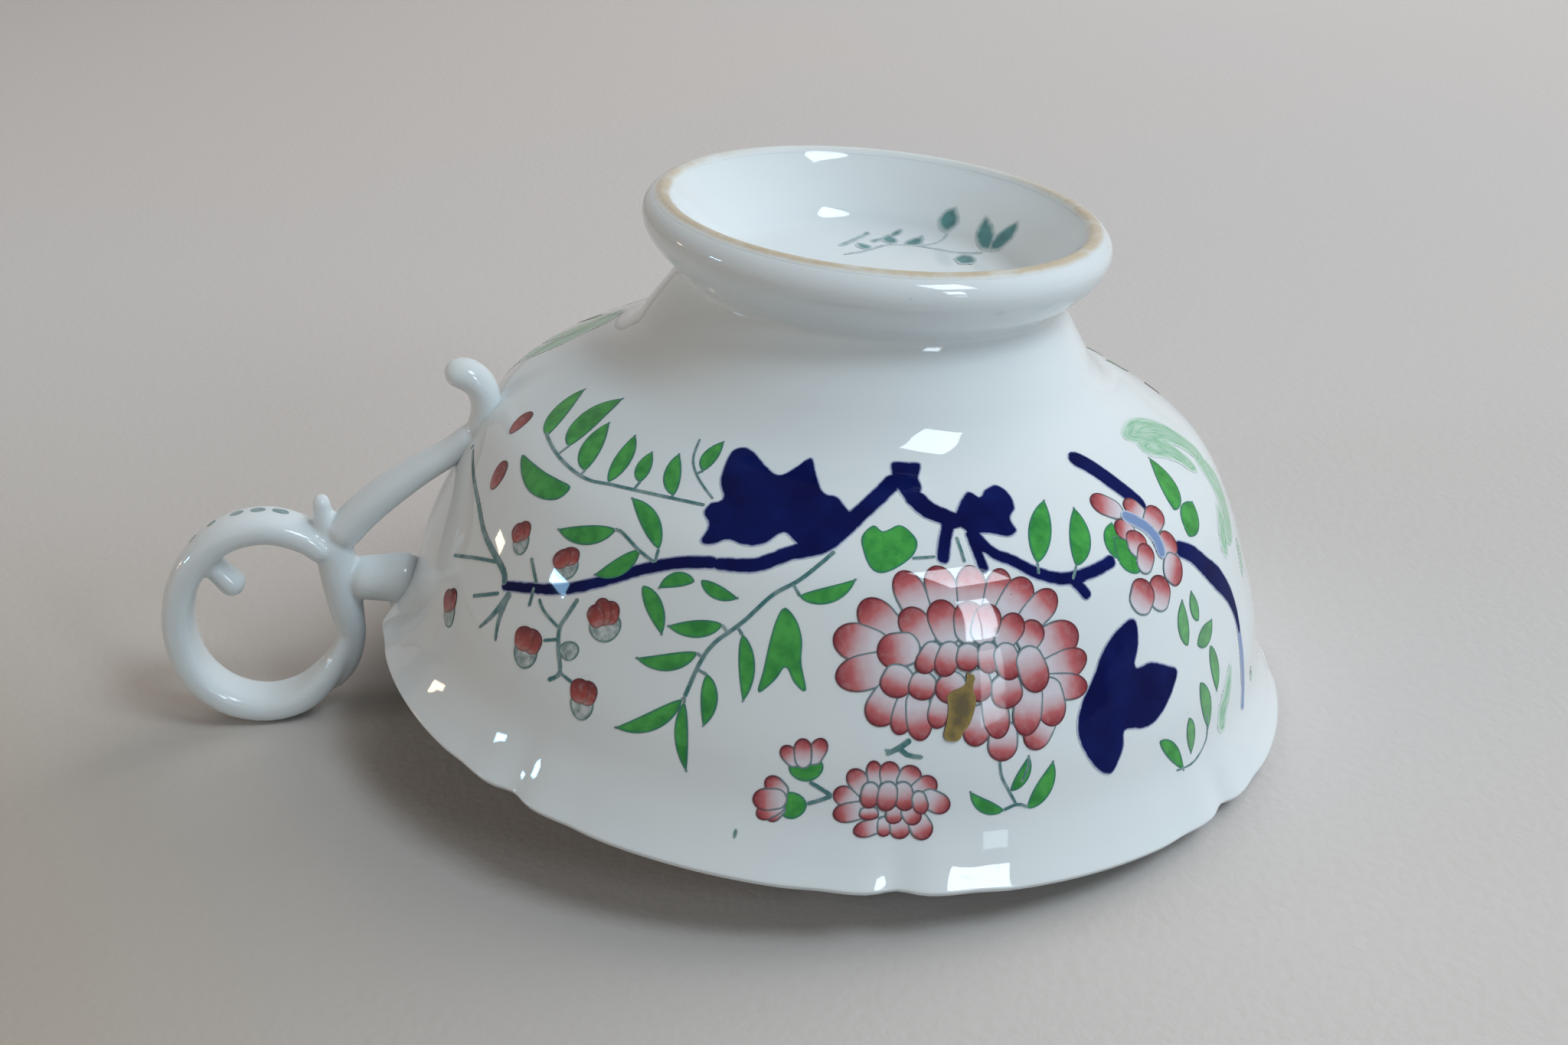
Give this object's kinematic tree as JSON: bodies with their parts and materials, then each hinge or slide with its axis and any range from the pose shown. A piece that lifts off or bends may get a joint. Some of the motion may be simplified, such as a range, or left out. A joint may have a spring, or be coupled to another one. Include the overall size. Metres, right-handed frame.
{
  "type": "footed cup with ring handle",
  "caption": "Low footed porcelain cup with a lobed, flared rim, a hollow rolled foot and a twig-and-ring handle; shown upside down.",
  "frame": {"origin": "centre of the flat underside inside the foot ring, on the cup's axis", "axes": "+Z along the cup's axis towards the foot, so the cup is upside down as in the picture and a half turn about X stands it upright; -Y towards the handle; +X completes the right-handed frame"},
  "size_m": [0.0996, 0.1236, 0.063],
  "materials": {
    "bowl_glaze": "clear glossy glaze on cool white porcelain",
    "foot_glaze": "clear glossy glaze, worn at the resting face",
    "handle_glaze": "clear glossy glaze over pressed porcelain",
    "cobalt_blue": "dark blue under the glaze, soft at its edges",
    "green_enamel": "green enamel wash inside a printed outline",
    "red_enamel": "red to pink enamel, paler towards the petal's root",
    "teal_print": "fine printed outline under the glaze",
    "worn_gilding": "thin worn gilding"
  },
  "bodies": {
    "root": {"bowl": "bowl_glaze", "foot_ring": "foot_glaze", "handle_ring": "handle_glaze", "handle_stem": "handle_glaze", "handle_arm": "handle_glaze", "arm_scroll": "handle_glaze", "ring_spur": "handle_glaze", "ring_bud": "handle_glaze", "handle_stub": "handle_glaze"}
  },
  "joints": []
}
